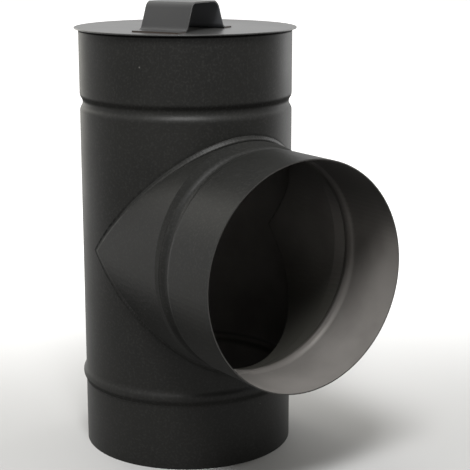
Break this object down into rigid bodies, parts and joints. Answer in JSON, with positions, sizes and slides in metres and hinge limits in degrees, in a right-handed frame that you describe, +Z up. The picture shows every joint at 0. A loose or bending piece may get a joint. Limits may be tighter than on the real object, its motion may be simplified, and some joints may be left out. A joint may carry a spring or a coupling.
{
  "type": "duct tee",
  "caption": "Upright sheet-steel flue tee: plain spigot below, equal side branch with a socket mouth, rolled stop beads, painted weld, and a lift-out top cap with a strap handle.",
  "frame": {"origin": "on the run's axis at the open end of the bottom spigot, which is the plane the tee stands on", "axes": "+Z up the run, +X out of the branch"},
  "size_m": [0.2215, 0.156, 0.3204],
  "materials": {
    "stove_paint": "matt black stove paint on sheet steel",
    "weld_paint": "matt black stove paint over a weld bead",
    "cap_paint": "satin black stove paint on sheet steel"
  },
  "bodies": {
    "tee": {"main_pipe": "stove_paint", "branch_pipe": "stove_paint", "saddle_weld": "weld_paint"},
    "cap": {"cap_disc": "cap_paint", "cap_sleeve": "cap_paint", "cap_handle": "cap_paint"}
  },
  "joints": [
    {"name": "cap_lift", "type": "slide", "parent": "tee", "child": "cap", "axis": [0, 0, 1], "range_m": [0, 0.06]}
  ]
}
